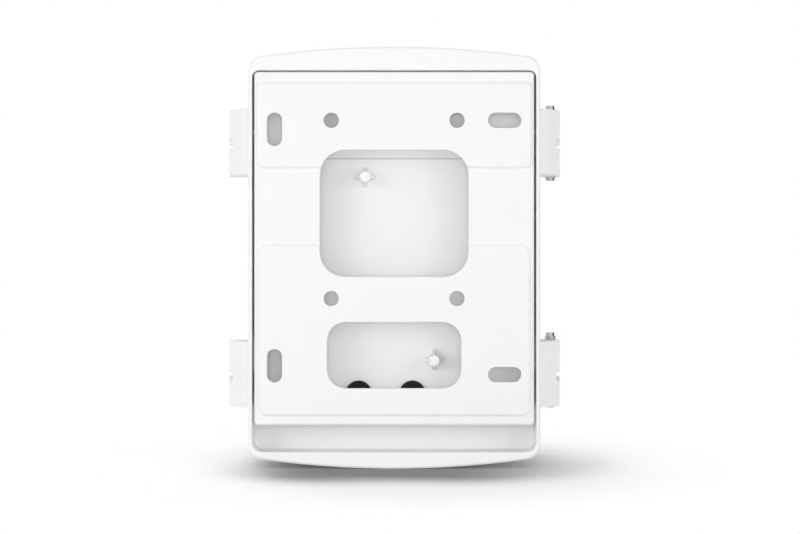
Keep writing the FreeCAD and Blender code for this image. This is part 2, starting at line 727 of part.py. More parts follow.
door = new_body("door")
add(door, "shell", FLAT, DOOR_BACK, f"dim.door_depth - ({DOOR_BACK})", outline("0"))
smooth(door, "front_edge", "dim.door_round", lambda edge: at_depth(edge, value("dim.door_depth")))
cut(door, "inside", FLAT, DOOR_BACK, f"{DOOR_INNER} - ({DOOR_BACK})", outline("dim.rim_band"))
cut(door, "seal_groove", FLAT, DOOR_BACK, "dim.groove_depth",
    outline("dim.groove_offset"), outline("dim.groove_inner"))
add(door, "bracket_pad", FLAT, "dim.door_depth", "dim.bracket_rise",
    rounded("-dim.bracket_half_x", "dim.bracket_half_x", f"{CENTRE} - dim.bracket_half_z",
            f"{CENTRE} + dim.bracket_half_z", "dim.bracket_corner"))
BRACKET_HOLES = [(f"{x}dim.hole_pitch_x / 2", f"{CENTRE} {z} dim.hole_pitch_z / 2")
                 for x in SIDES for z in ("+", "-")]
add(door, "bracket_posts", FLAT, DOOR_INNER, "dim.bracket_post_height",
    *[circle(x, z, "dim.bracket_post") for x, z in BRACKET_HOLES], back=True)
cut(door, "bracket_threads", FLAT, BRACKET_FRONT, "dim.bracket_hole_depth",
    *[circle(x, z, "dim.bracket_hole") for x, z in BRACKET_HOLES], back=True)
add(door, "cable_collar", FLAT, DOOR_INNER, "dim.wall",
    circle("0", CENTRE, "dim.front_collar"), back=True)
cut(door, "cable_hole", FLAT, BRACKET_FRONT, "dim.door_skin + dim.bracket_rise + dim.wall * 2",
    circle("0", CENTRE, "dim.front_hole"), back=True)
for z, name in SCREWS:
    add(door, f"{name}_sleeve", FLAT, DOOR_INNER, f"{DOOR_INNER} - {SLEEVE_END}",
        circle(SCREW_X, z, "dim.sleeve_radius"), back=True)
cut(door, "screw_holes", FLAT, "dim.door_depth", f"dim.door_depth - {SLEEVE_END} + dim.past",
    *[circle(SCREW_X, z, "dim.screw_radius + dim.running_gap") for z, _ in SCREWS],
    back=True)
cut(door, "screw_sinks", FLAT, "dim.door_depth", "dim.screw_sink",
    *[circle(SCREW_X, z, "dim.screw_head_radius + dim.running_gap") for z, _ in SCREWS],
    back=True)
for level, middle in (("upper", LUG_HIGH), ("lower", LUG_LOW)):
    base = f"{middle} - dim.knuckle_offset"
    height = "dim.lug_length / 2 + dim.knuckle_offset"
    arms = []
    for sign in SIDES:
        inner = f"{sign}(dim.half_width - dim.wall / 2)"
        arms.append(polygon((f"{sign}({PIN_X} - dim.knuckle_radius)", f"-{PIN_DEPTH}"),
                            (f"{sign}{RIM}", f"-{PIN_DEPTH}"),
                            (inner, "-dim.parting_depth - dim.arm_front"),
                            (inner, "-dim.parting_depth - dim.arm_rear")))
    add(door, f"{level}_arms", UPRIGHT, base, height, *arms)
    add(door, f"{level}_knuckles", UPRIGHT, base, height,
        *[circle(f"{sign}{PIN_X}", f"-{PIN_DEPTH}", "dim.knuckle_radius") for sign in SIDES])
    cut(door, f"{level}_pin_bores", UPRIGHT, base, height,
        *[circle(f"{sign}{PIN_X}", f"-{PIN_DEPTH}", "dim.pin_radius + dim.pin_clearance")
          for sign in SIDES])

# Door seal: a silicone ring pressed into the groove

seal = new_body("door_gasket")
add(seal, "ring", FLAT, "dim.parting_depth + dim.tongue_height + dim.running_gap",
    f"{DOOR_BACK} + dim.groove_depth - dim.parting_depth - dim.tongue_height - dim.running_gap",
    outline("dim.groove_offset + dim.seal_side_gap"),
    outline("dim.groove_inner - dim.seal_side_gap"))

# Plugs: black rubber, each a flange outside, a neck in the hole and a lip inside

for x, side in PLUGS:
    plug = new_body(f"rear_plug_{side}")
    neck = "dim.cable_hole - dim.plug_gap"
    turned(plug, "grommet", x, "dim.plug_z",
           ("0", "dim.floor_depth - dim.plug_thick"),
           ("dim.plug_flange", "dim.floor_depth - dim.plug_thick"),
           ("dim.plug_flange", "dim.floor_depth"), (neck, "dim.floor_depth"),
           (neck, FLOOR_INNER), ("dim.plug_lip", FLOOR_INNER),
           ("dim.plug_nose", f"{FLOOR_INNER} + dim.plug_lip_height"),
           ("0", f"{FLOOR_INNER} + dim.plug_lip_height"))
front_plug = new_body("front_cable_plug")
FRONT_NECK = "dim.front_hole - dim.plug_gap"
COLLAR_BACK = f"{DOOR_INNER} - dim.wall"
turned(front_plug, "grommet", "0", CENTRE,
       ("0", BRACKET_FRONT + " - dim.plug_thick"), (FRONT_NECK, BRACKET_FRONT + " - dim.plug_thick"),
       (FRONT_NECK, COLLAR_BACK), ("dim.front_plug_lip", COLLAR_BACK),
       (FRONT_NECK, f"{COLLAR_BACK} - dim.plug_thick"),
       ("0", f"{COLLAR_BACK} - dim.plug_thick"))

# Gear plate: a plated steel panel on the posts, held by two screws

gear = new_body("gear_plate")
add(gear, "panel", FLAT, GEAR_BACK, "dim.gear_thick",
    rounded("-dim.gear_half", "dim.gear_half", "dim.gear_low", "dim.gear_high",
            "dim.gear_corner"))
BLOCK_HALF = "(dim.pole_pitch * dim.pole_count / 2 + dim.block_end)"
FIXINGS = [f"dim.block_x {sign} ({BLOCK_HALF} - dim.block_end / 2)" for sign in ("+", "-")]
SADDLE_SCREWS = [f"{x} {sign} dim.saddle_pitch" for x, _ in PLUGS for sign in ("+", "-")]
cut(gear, "holes", FLAT, GEAR_BACK, "dim.gear_thick",
    *[circle(x, z, "dim.gear_screw_radius + dim.hole_clearance") for x, z in POSTS],
    *[circle(x, "dim.block_z", "dim.fixing_radius + dim.thread_slack") for x in FIXINGS],
    *[circle(x, "dim.saddle_z", "dim.fixing_radius + dim.thread_slack")
      for x in SADDLE_SCREWS],
    circle("dim.earth_x", "dim.earth_z", "dim.earth_radius + dim.thread_slack"))


def cylinder(node, x, depth, z, radius, length, upright=False):
    """A plain round bar, either along the depth or standing upright."""
    bar = document.addObject("Part::Cylinder", node)
    bar.setExpression("Radius", radius)
    bar.setExpression("Height", length)
    bar.setExpression("Placement.Base.x", x)
    bar.setExpression("Placement.Base.y", f"-({depth})")
    bar.setExpression("Placement.Base.z", z)
    if not upright:
        bar.Placement.Rotation = FreeCAD.Rotation(FreeCAD.Vector(1, 0, 0), 90)
    return bar


def hexagon(node, x, depth, z, across, length, upright=False):
    """A hexagonal bar, its width given across the flats."""
    bar = document.addObject("Part::Prism", node)
    bar.Polygon = 6
    bar.setExpression("Circumradius", f"({across}) / 2 / cos(30 deg)")
    bar.setExpression("Height", length)
    bar.setExpression("Placement.Base.x", x)
    bar.setExpression("Placement.Base.y", f"-({depth})")
    bar.setExpression("Placement.Base.z", z)
    if not upright:
        bar.Placement.Rotation = FreeCAD.Rotation(FreeCAD.Vector(1, 0, 0), 90)
    return bar


def bar(node, x, depth, z, wide, tall, length):
    """A square-cornered bar along the depth, centred on a point."""
    block = document.addObject("Part::Box", node)
    block.setExpression("Length", wide)
    block.setExpression("Height", tall)
    block.setExpression("Width", length)
    block.setExpression("Placement.Base.x", f"{x} - ({wide}) / 2")
    block.setExpression("Placement.Base.y", f"-({depth}) - ({length})")
    block.setExpression("Placement.Base.z", f"{z} - ({tall}) / 2")
    return block


def fuse(node, *shapes):
    whole = document.addObject("Part::MultiFuse", node)
    whole.Label = node
    whole.Shapes = list(shapes)
    return whole


def subtract(node, base, tool):
    rest = document.addObject("Part::Cut", node)
    rest.Label = node
    rest.Base = base
    rest.Tool = tool
    return rest


def group(node, *shapes):
    """Like pieces that share one node and stay separate solids."""
    several = document.addObject("Part::Compound", node)
    several.Label = node
    several.Links = list(shapes)
    return several


def pan_screw(name, x, z, seat, shank, length, head, height):
    """A screw driven towards the wall, with a slotted head on its seat."""
    stem = cylinder(f"{name}_shank", x, f"{seat} - ({length})", z, shank, length)
    cap = cylinder(f"{name}_head", x, seat, z, head, height)
    nick = bar(f"{name}_slot", x, f"{seat} + ({height}) / 2", z, f"({head}) * dim.nick_reach",
               f"({head}) * dim.nick_share", height)
    return subtract(name, fuse(f"{name}_blank", stem, cap), nick)


gear_screws = [pan_screw(f"gear_screw_{i}", x, z, GEAR_FRONT, "dim.gear_screw_radius",
                         "dim.gear_screw_length", "dim.gear_screw_head", "dim.gear_screw_height")
               for i, (x, z) in enumerate(POSTS, start=1)]
kept = {"gear_plate_screws": group("gear_plate_screws", *gear_screws)}

# Terminal block: a moulded strip of poles, with a brass clamp and a screw in each

block = new_body("terminal_block")
add(block, "foot", FLAT, GEAR_FRONT, "dim.block_land",
    rectangle(f"dim.block_x - ({BLOCK_HALF})", f"dim.block_x + {BLOCK_HALF}",
              "dim.block_z - dim.block_foot_half", "dim.block_z + dim.block_foot_half"))
SHOULDER = "(dim.block_height - dim.block_shoulder)"
profile = [("-dim.block_half_z", "0"), ("dim.block_half_z", "0"),
           ("dim.block_half_z", SHOULDER), ("dim.block_top_half", "dim.block_height"),
           ("-dim.block_top_half", "dim.block_height"), ("-dim.block_half_z", SHOULDER)]
add(block, "poles", SIDE, f"dim.block_x - {BLOCK_HALF} + dim.block_end",
    f"2 * ({BLOCK_HALF} - dim.block_end)",
    polygon(*[(f"-({GEAR_FRONT}) - {rise}", f"dim.block_z + {level}") for level, rise in profile]))
POLES = [f"dim.block_x + ({i} - (dim.pole_count - 1) / 2) * dim.pole_pitch"
         for i in range(int(value("dim.pole_count")))]
ENTRY_HALF = "(dim.clamp_side / 2 + dim.clamp_gap)"
BARREL = f"{GEAR_FRONT} + dim.block_land + {ENTRY_HALF} + dim.clamp_gap"
cut(block, "entries", UPRIGHT, "dim.block_z - dim.block_half_z", "dim.block_half_z * 2",
    *[rectangle(f"{x} - {ENTRY_HALF}", f"{x} + {ENTRY_HALF}", f"-({BARREL}) - {ENTRY_HALF}",
                f"-({BARREL}) + {ENTRY_HALF}") for x in POLES])
cut(block, "wells", FLAT, f"{GEAR_FRONT} + dim.block_height",
    f"{GEAR_FRONT} + dim.block_height - ({BARREL})",
    *[circle(x, "dim.block_z", "dim.screw_well") for x in POLES], back=True)
cut(block, "fixing_holes", FLAT, GEAR_FRONT, "dim.block_land",
    *[circle(x, "dim.block_z", "dim.fixing_radius + dim.hole_clearance") for x in FIXINGS])
TERMINAL_HEAD = f"{BARREL} + dim.clamp_side / 2 + dim.terminal_neck"
clamps, screws = [], []
for i, x in enumerate(POLES, start=1):
    cage = bar(f"clamp_{i}_cage", x, f"{BARREL} - dim.clamp_side / 2", "dim.block_z",
               "dim.clamp_side", "dim.clamp_half * 2", "dim.clamp_side")
    bore = cylinder(f"clamp_{i}_bore", x, BARREL, "dim.block_z - dim.clamp_half",
                    "dim.clamp_bore", "dim.clamp_half * 2", upright=True)
    tapped = cylinder(f"clamp_{i}_tapping", x, BARREL, "dim.block_z",
                      "dim.terminal_screw + dim.thread_slack", "dim.clamp_side")
    clamps.append(subtract(f"clamp_{i}", cage, fuse(f"clamp_{i}_holes", bore, tapped)))
    shank = cylinder(f"terminal_screw_{i}_shank", x, BARREL, "dim.block_z",
                     "dim.terminal_screw", "dim.clamp_side / 2 + dim.terminal_neck")
    head = cylinder(f"terminal_screw_{i}_head", x, TERMINAL_HEAD, "dim.block_z",
                    "dim.terminal_head", "dim.terminal_head_height")
    nick = bar(f"terminal_screw_{i}_nick", x, f"{TERMINAL_HEAD} + dim.terminal_head_height / 2",
               "dim.block_z", "dim.terminal_head * dim.nick_reach", "dim.terminal_head * dim.nick_share",
               "dim.terminal_head_height")
    screws.append(subtract(f"terminal_screw_{i}",
                           fuse(f"terminal_screw_{i}_blank", shank, head), nick))
kept["terminal_clamps"] = group("terminal_clamps", *clamps)
kept["terminal_screws"] = group("terminal_screws", *screws)
FOOT_FRONT = f"{GEAR_FRONT} + dim.block_land"
kept["terminal_fixing_screws"] = group("terminal_fixing_screws", *[
    pan_screw(f"fixing_screw_{i}", x, "dim.block_z", FOOT_FRONT, "dim.fixing_radius",
              "dim.block_land + dim.gear_thick + dim.fixing_tail", "dim.fixing_head",
              "dim.fixing_head_height")
    for i, x in enumerate(FIXINGS, start=1)])

# Earth stud: pressed into the gear plate, with a washer and a nut

stud_head = cylinder("earth_stud_head", "dim.earth_x", f"{GEAR_BACK} - dim.earth_head_height",
                     "dim.earth_z", "dim.earth_head", "dim.earth_head_height")
stud_stem = cylinder("earth_stud_stem", "dim.earth_x", GEAR_BACK, "dim.earth_z",
                     "dim.earth_radius", "dim.earth_length")
kept["earth_stud"] = fuse("earth_stud", stud_head, stud_stem)
washer = cylinder("washer_disc", "dim.earth_x", GEAR_FRONT, "dim.earth_z", "dim.earth_washer",
                  "dim.earth_washer_thick")
washer_hole = cylinder("washer_hole", "dim.earth_x", GEAR_FRONT, "dim.earth_z",
                       "dim.earth_radius + dim.washer_gap", "dim.earth_washer_thick")
kept["earth_washer"] = subtract("earth_washer", washer, washer_hole)
EARTH_SEAT = f"{GEAR_FRONT} + dim.earth_washer_thick"
nut = hexagon("earth_nut_blank", "dim.earth_x", EARTH_SEAT, "dim.earth_z", "dim.earth_across",
              "dim.earth_nut")
nut_hole = cylinder("earth_nut_hole", "dim.earth_x", EARTH_SEAT, "dim.earth_z",
                    "dim.earth_radius + dim.thread_slack", "dim.earth_nut")
kept["earth_nut"] = subtract("earth_nut", nut, nut_hole)

# Cable saddles: a bent strip over each cable, with a screw at each end

for x, side in PLUGS:
    saddle = new_body(f"cable_saddle_{side}")
    z_low = "dim.saddle_z - dim.saddle_width / 2"
    bow = f"{GEAR_FRONT} + dim.saddle_bore"
    add(saddle, "strip", UPRIGHT, z_low, "dim.saddle_width",
        rectangle(f"{x} - dim.saddle_half", f"{x} + dim.saddle_half",
                  f"-({GEAR_FRONT}) - dim.saddle_thick", f"-({GEAR_FRONT})"))
    add(saddle, "bridge", UPRIGHT, z_low, "dim.saddle_width",
        rounded(f"{x} - dim.saddle_bore - dim.saddle_thick",
                f"{x} + dim.saddle_bore + dim.saddle_thick",
                f"-({bow}) - dim.saddle_bore - dim.saddle_thick", f"-({GEAR_FRONT})",
                "dim.saddle_bore", "dim.saddle_foot_corner"))
    cut(saddle, "cable_way", UPRIGHT, z_low, "dim.saddle_width",
        rounded(f"{x} - dim.saddle_bore", f"{x} + dim.saddle_bore",
                f"-({bow}) - dim.saddle_bore", f"-({GEAR_FRONT}) + dim.past",
                "dim.saddle_way_corner", "dim.saddle_foot_corner"))
    cut(saddle, "screw_holes", FLAT, GEAR_FRONT, "dim.saddle_thick",
        *[circle(f"{x} {sign} dim.saddle_pitch", "dim.saddle_z", "dim.fixing_radius + dim.hole_clearance")
          for sign in ("+", "-")])
SADDLE_FRONT = f"{GEAR_FRONT} + dim.saddle_thick"
kept["saddle_screws"] = group("saddle_screws", *[
    pan_screw(f"saddle_screw_{i}", x, "dim.saddle_z", SADDLE_FRONT, "dim.fixing_radius",
              "dim.saddle_thick + dim.gear_thick + dim.fixing_tail", "dim.fixing_head",
              "dim.fixing_head_height")
    for i, x in enumerate(SADDLE_SCREWS, start=1)])

# Hinge screws and nuts: the heads face outwards, the nuts face each other

PIN = (f"-{PIN_X}", PIN_DEPTH)
for level, middle, up in (("upper", LUG_HIGH, True), ("lower", LUG_LOW, False)):
    top = f"{middle} + dim.lug_length / 2 + dim.running_gap"
    foot = f"{middle} - dim.lug_length / 2"
    nut_length = "dim.nut_height + dim.nut_flange"
    if up:
        flange_z, cap_z = top, f"{top} + dim.pin_flange_height"
        collar_z, hex_z = f"{foot} - dim.nut_flange", f"{foot} - ({nut_length})"
        stem_z = f"{hex_z} - dim.pin_tail"
    else:
        flange_z = f"{foot} - dim.pin_flange_height"
        cap_z = f"{flange_z} - dim.pin_head_height"
        collar_z, hex_z = top, f"{top} + dim.nut_flange"
        stem_z = flange_z
    stem_length = f"dim.lug_length + dim.running_gap + {nut_length} + dim.pin_tail"
    socket_z = f"{cap_z} + dim.pin_head_height - dim.pin_socket" if up else cap_z
    name = f"hinge_screw_{level}"
    blank = fuse(f"{name}_blank",
                 cylinder(f"{name}_stem", *PIN, stem_z, "dim.pin_radius", stem_length, True),
                 cylinder(f"{name}_flange", *PIN, flange_z, "dim.pin_flange_radius",
                          "dim.pin_flange_height", True),
                 cylinder(f"{name}_cap", *PIN, cap_z, "dim.pin_head_radius",
                          "dim.pin_head_height", True))
    socket = hexagon(f"{name}_socket", *PIN, socket_z, "dim.pin_socket_across",
                     "dim.pin_socket", True)
    kept[name] = subtract(name, blank, socket)
    name = f"hinge_nut_{level}"
    blank = fuse(f"{name}_blank",
                 hexagon(f"{name}_hex", *PIN, hex_z, "dim.nut_across", "dim.nut_height", True),
                 cylinder(f"{name}_flange", *PIN, collar_z, "dim.nut_flange_radius",
                          "dim.nut_flange", True))
    thread = cylinder(f"{name}_thread", *PIN, f"min({hex_z}; {collar_z})",
                      "dim.pin_radius + dim.thread_slack / 2", nut_length, True)
    kept[name] = subtract(name, blank, thread)

# Door screws: captive, each kept in the door by a retaining ring

HEAD_SEAT = "dim.door_depth - dim.screw_sink"
HEAD_FRONT = f"{HEAD_SEAT} + dim.running_gap + dim.screw_head_height"
SCREW_TIP = "dim.parting_depth - dim.thread_reach"
for z, level in SCREWS:
    name = f"door_screw_{level}"
    blank = fuse(f"{name}_blank",
                 cylinder(f"{name}_shank", SCREW_X, SCREW_TIP, z, "dim.screw_radius",
                          f"{HEAD_SEAT} - ({SCREW_TIP}) + dim.past"),
                 cylinder(f"{name}_head", SCREW_X, f"{HEAD_SEAT} + dim.running_gap", z,
                          "dim.screw_head_radius", "dim.screw_head_height"))
    socket = hexagon(f"{name}_socket", SCREW_X,
                     f"{HEAD_FRONT} - dim.screw_socket", z, "dim.screw_socket_across",
                     "dim.screw_socket")
    kept[name] = subtract(name, blank, socket)
    name = f"screw_retainer_{level}"
    disc = cylinder(f"{name}_disc", SCREW_X, RETAINER_BACK, z,
                    "dim.retainer_radius", "dim.retainer_thick")
    bore = cylinder(f"{name}_bore", SCREW_X, RETAINER_BACK, z,
                    "dim.screw_radius + dim.thread_slack / 2", "dim.retainer_thick")
    kept[name] = subtract(name, disc, bore)

document.recompute()
for piece in document.Objects:
    if piece.TypeId == "PartDesign::Body":
        kept[piece.Label] = piece
for piece in document.Objects:
    if "Invalid" in piece.State or "Error" in piece.State:
        raise RuntimeError(f"{piece.Label} failed: {piece.State}")
for node, piece in kept.items():
    if piece.Shape.isNull() or not piece.Shape.isValid():
        raise RuntimeError(f"{node} has no sound shape")

os.makedirs("parts", exist_ok=True)
for node, piece in sorted(kept.items()):
    piece.Shape.exportStep(f"parts/{node}.step")
    print(node, len(piece.Shape.Solids), round(piece.Shape.Volume))
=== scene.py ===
import math

import bpy
import numpy as np
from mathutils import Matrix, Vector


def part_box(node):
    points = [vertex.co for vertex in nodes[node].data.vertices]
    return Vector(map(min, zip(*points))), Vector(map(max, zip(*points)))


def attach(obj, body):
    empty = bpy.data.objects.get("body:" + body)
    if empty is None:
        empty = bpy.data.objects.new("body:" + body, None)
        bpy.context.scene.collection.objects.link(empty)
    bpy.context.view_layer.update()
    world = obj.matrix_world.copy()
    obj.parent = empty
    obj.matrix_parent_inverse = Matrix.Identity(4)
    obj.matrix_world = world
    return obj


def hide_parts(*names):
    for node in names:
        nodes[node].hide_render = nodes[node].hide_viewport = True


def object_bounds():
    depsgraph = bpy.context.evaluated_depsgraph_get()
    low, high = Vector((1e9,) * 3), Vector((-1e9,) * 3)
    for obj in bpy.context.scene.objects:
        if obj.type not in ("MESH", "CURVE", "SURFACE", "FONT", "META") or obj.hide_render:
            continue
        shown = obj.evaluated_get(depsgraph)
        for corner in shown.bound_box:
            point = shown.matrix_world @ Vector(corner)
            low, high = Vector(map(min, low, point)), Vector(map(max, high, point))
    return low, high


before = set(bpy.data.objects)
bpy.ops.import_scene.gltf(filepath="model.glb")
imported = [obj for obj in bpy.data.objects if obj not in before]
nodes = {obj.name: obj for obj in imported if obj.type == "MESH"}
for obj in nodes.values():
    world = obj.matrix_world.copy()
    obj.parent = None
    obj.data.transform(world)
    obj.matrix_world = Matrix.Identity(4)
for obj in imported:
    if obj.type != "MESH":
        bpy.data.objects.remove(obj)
cad_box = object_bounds()


# Wall plate. A white powder-coated steel sheet, pressed into two raised pads that bear on
# the wall and bent into a hooked flange down each side; the box hangs on those hooks.

class Wire:
    """A value in a material. Arithmetic on it adds Math nodes."""

    def __init__(self, tree, socket):
        self.tree = tree
        self.socket = socket

    def math(self, operation, *values):
        node = self.tree.nodes.new("ShaderNodeMath")
        node.operation = operation
        for place, value in zip(node.inputs, values):
            plug(self.tree, place, value)
        return Wire(self.tree, node.outputs[0])

    def __add__(self, other):
        return self.math("ADD", self, other)

    __radd__ = __add__

    def __sub__(self, other):
        return self.math("SUBTRACT", self, other)

    def __rsub__(self, other):
        return self.math("SUBTRACT", other, self)

    def __mul__(self, other):
        return self.math("MULTIPLY", self, other)

    __rmul__ = __mul__

    def __truediv__(self, other):
        return self.math("DIVIDE", self, other)

    def __pow__(self, other):
        return self.math("POWER", self, other)

    def __abs__(self):
        return self.math("ABSOLUTE", self)

    def held(self, low, high):
        """The value kept between two numbers."""
        return self.math("MINIMUM", self.math("MAXIMUM", self, low), high)

    def eased(self):
        """Three times the value's square less twice its cube: flat at 0 and at 1."""
        return self * self * (3 - 2 * self)


def plug(tree, place, value):
    """Links a wire into a socket, or sets the socket's own number or colour."""
    if isinstance(value, Wire):
        tree.links.new(value.socket, place)
    else:
        place.default_value = value


def found(sockets, name):
    """The socket with that identifier, or else with that name."""
    return next((s for s in sockets if s.identifier == name), None) or sockets[name]


class Finish:
    """One material, with the piece's own coordinates in metres."""

    def __init__(self, name):
        self.material = bpy.data.materials.new(name)
        self.material.use_nodes = True
        self.tree = self.material.node_tree
        self.shader = self.tree.nodes["Principled BSDF"]
        self.place = self.node("ShaderNodeTexCoord", {}, {}, "Object")

    def node(self, kind, settings, inputs, output=0):
        """Adds a node: its settings, then the values or links of its sockets."""
        made = self.tree.nodes.new(kind)
        for name, value in settings.items():
            setattr(made, name, value)
        for name, value in inputs.items():
            plug(self.tree, found(made.inputs, name), value)
        chosen = made.outputs[output] if isinstance(output, int) else found(made.outputs, output)
        return Wire(self.tree, chosen)

    def noise(self, scale, detail=2.0, stretch=(1, 1, 1), roughness=0.5):
        """Noise with scale features to a metre, drawn out along the axes by stretch."""
        spot = self.node("ShaderNodeMapping", {}, {"Vector": self.place, "Scale": stretch})
        return self.node("ShaderNodeTexNoise", {}, {
            "Vector": spot, "Scale": scale, "Detail": detail, "Roughness": roughness}, "Fac")

    def axes(self, names):
        """The piece's own coordinates in metres, one value for each letter of names."""
        return [self.node("ShaderNodeSeparateXYZ", {}, {"Vector": self.place}, name)
                for name in names]

    def blend(self, share, first, second):
        """The first colour where share is 0, the second where it is 1."""
        first, second = ((*colour, 1) if isinstance(colour, tuple) else colour
                         for colour in (first, second))
        return self.node("ShaderNodeMix", {"data_type": "RGBA"}, {
            "Factor_Float": share, "A_Color": first, "B_Color": second}, "Result_Color")

    def relief(self, height, depth, edge=0.0):
        """Bumps depth metres high, on edges softened to a radius of edge metres."""
        edge_samples = 6
        inputs = {"Height": height, "Distance": depth, "Strength": 1.0}
        if edge:
            inputs["Normal"] = self.node(
                "ShaderNodeBevel", {"samples": edge_samples}, {"Radius": edge})
        return self.node("ShaderNodeBump", {}, inputs)

    def surface(self, **values):
        """Sets the shader's sockets, each named with _ for a space."""
        for name, value in values.items():
            plug(self.tree, found(self.shader.inputs, name.replace("_", " ")), value)


def dress(finish, *names):
    """Gives one finish to CAD nodes, in place of what they came with."""
    for name in names:
        nodes[name].data.materials.clear()
        nodes[name].data.materials.append(finish.material)


sheet_coat = Finish("sheet_coat")
peel = sheet_coat.noise(950, detail=1.5)
cloud = sheet_coat.noise(35, detail=3)
sheet_coat.surface(
    Base_Color=sheet_coat.blend(cloud, (0.90, 0.90, 0.90), (0.92, 0.92, 0.92)),
    Roughness=0.36 + 0.10 * cloud + 0.06 * peel,
    Specular_IOR_Level=0.4,
    Normal=sheet_coat.relief(peel, 0.00003, edge=0.0007))
dress(sheet_coat, "wall_plate")


# Box. An aluminium casting with the same white coat over a sandier skin. Its recess takes
# the wall plate, its lugs the hinge screws.

cast_coat = Finish("cast_coat")
sand = cast_coat.noise(1400, detail=3, roughness=0.6)
flow = cast_coat.noise(22, detail=4)

# Painted shade: a thin dark line painted into the coat's colour in the crease at the foot of
# the recess step, where the step's shadow falls. It runs crease_half to each side, and thins
# out over crease_end at each end.
east, depth, height = cast_coat.axes("XYZ")
crease_z, crease_y, crease_half = 0.035, -0.020, 0.084
crease_width, crease_depth, crease_end = 0.0006, 0.0005, 0.0005
painted_crease_shade = ((1 - abs(height - crease_z) / crease_width).held(0, 1)
          * (1 - abs(depth - crease_y) / crease_depth).held(0, 1)
          * ((crease_half - abs(east)) / crease_end).held(0, 1))
unshaded_coat = cast_coat.blend(flow, (0.915, 0.915, 0.915), (0.935, 0.935, 0.935))
# The base colour darkens to grey along the crease, as painted shade.
cast_coat.surface(
    Base_Color=cast_coat.blend(painted_crease_shade, unshaded_coat, (0.40, 0.40, 0.40)),
    Roughness=0.42 + 0.10 * flow + 0.08 * sand,
    Specular_IOR_Level=0.4,
    Normal=cast_coat.relief(sand, 0.00004, edge=0.0009))
dress(cast_coat, "rear_box", "door")


# Door seal. A grey silicone ring pressed into the door's groove, where the box's tongue
# meets it.

silicone = Finish("silicone")
skin = silicone.noise(600, detail=2)
silicone.surface(
    Base_Color=silicone.blend(skin, (0.30, 0.30, 0.30), (0.36, 0.36, 0.36)),
    Roughness=0.60 + 0.15 * skin,
    Normal=silicone.relief(skin, 0.00002))
dress(silicone, "door_gasket")


# Cable plugs. Black rubber, moulded, each with a flange outside, a neck in the hole and a
# lip inside. The outer face is a thin skin with raised rings, where it is cut for a cable.

rubber = Finish("rubber")
grain = rubber.noise(1800, detail=3)
bloom = rubber.noise(140, detail=4)
rubber.surface(
    Base_Color=rubber.blend(bloom, (0.006, 0.006, 0.0065), (0.012, 0.012, 0.0125)),
    Roughness=0.52 + 0.2 * bloom,
    Specular_IOR_Level=0.35,
    Normal=rubber.relief(grain, 0.00004))

facets = 96
angle = np.linspace(0, 2 * math.pi, facets, endpoint=False)


def stations(*pairs):
    """Circles, each with its radius and its height along the axis in millimetres."""
    radius, height = np.array(pairs, dtype=float).T
    return radius[:, None] + 0 * angle, height[:, None] + 0 * angle


def turned(name, spot, along, finish, *parts, pierced=False):
    """A turned piece. Ring by ring, a point is spot + radius * (cos(angle) * across +
    sin(angle) * aside) + height * along. The last ring closes on the first where the piece
    is pierced, and otherwise each end closes on a point of the axis."""
    millimetre, crisp = 0.001, math.radians(38)
    radius, height = (np.vstack(rows)[:, :, None] * millimetre for rows in zip(*parts))
    along = np.array(along, dtype=float)
    across = np.array((1.0, 0.0, 0.0))
    aside = np.cross(along, across)
    turn = np.cos(angle)[:, None] * across + np.sin(angle)[:, None] * aside
    points = (np.array(spot) + radius * turn + height * along).reshape(-1, 3)
    rings, around = radius.shape[0], len(angle)
    steps = rings if pierced else rings - 1
    i, j = np.meshgrid(np.arange(steps), np.arange(around), indexing="ij")
    here, there = i * around, (i + 1) % rings * around
    after = (j + 1) % around
    faces = np.stack([here + j, here + after, there + after, there + j], -1)
    faces = faces.reshape(-1, 4).tolist()
    if not pierced:
        first, last = len(points), len(points) + 1
        tips = [points[:around].mean(0), points[-around:].mean(0)]
        points = np.vstack([points, tips])
        j, after = np.arange(around), (np.arange(around) + 1) % around
        top = (rings - 1) * around
        faces += np.stack([after, j, np.full(around, first)], -1).tolist()
        faces += np.stack([top + j, top + after, np.full(around, last)], -1).tolist()
    mesh = bpy.data.meshes.new(name)
    mesh.from_pydata(points, [], faces)
    mesh.shade_smooth()
    mesh.set_sharp_from_angle(angle=crisp)
    mesh.materials.append(finish.material)
    piece = bpy.data.objects.new(name, mesh)
    bpy.context.scene.collection.objects.link(piece)
    return piece


def stand_in(piece, node, body):
    """Shows the piece in place of a CAD node, and moves it with that node's body."""
    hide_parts(node)
    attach(piece, body)


def centre_of(node):
    """The middle of a CAD node's box."""
    low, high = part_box(node)
    return (Vector(low) + Vector(high)) / 2


rear_lip = ((5.7, 0), (6.0, 0.15), (8.5, 2.35), (8.8, 2.55), (8.8, 2.68), (7.5, 2.75))
rear_flange = ((7.5, 5.65), (8.5, 5.7), (8.7, 5.78), (8.8, 5.95), (8.8, 7.0), (8.7, 7.3),
               (8.5, 7.45), (8.2, 7.5), (7.7, 7.5), (7.5, 7.42))
rear_skin = ((7.3, 6.9), (5.7, 6.88), (5.5, 7.05), (5.1, 7.05), (4.9, 6.88), (3.3, 6.86),
             (3.1, 7.03), (2.8, 7.03), (2.6, 6.86), (0.6, 6.85))

for side in ("left", "right"):
    node = f"rear_plug_{side}"
    middle = centre_of(node)
    inner_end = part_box(node)[0][1]
    plug_piece = turned(
        f"moulded_{node}", (middle.x, inner_end, middle.z), (0, 1, 0), rubber,
        stations(*rear_lip, *rear_flange, *rear_skin))
    stand_in(plug_piece, node, "box")

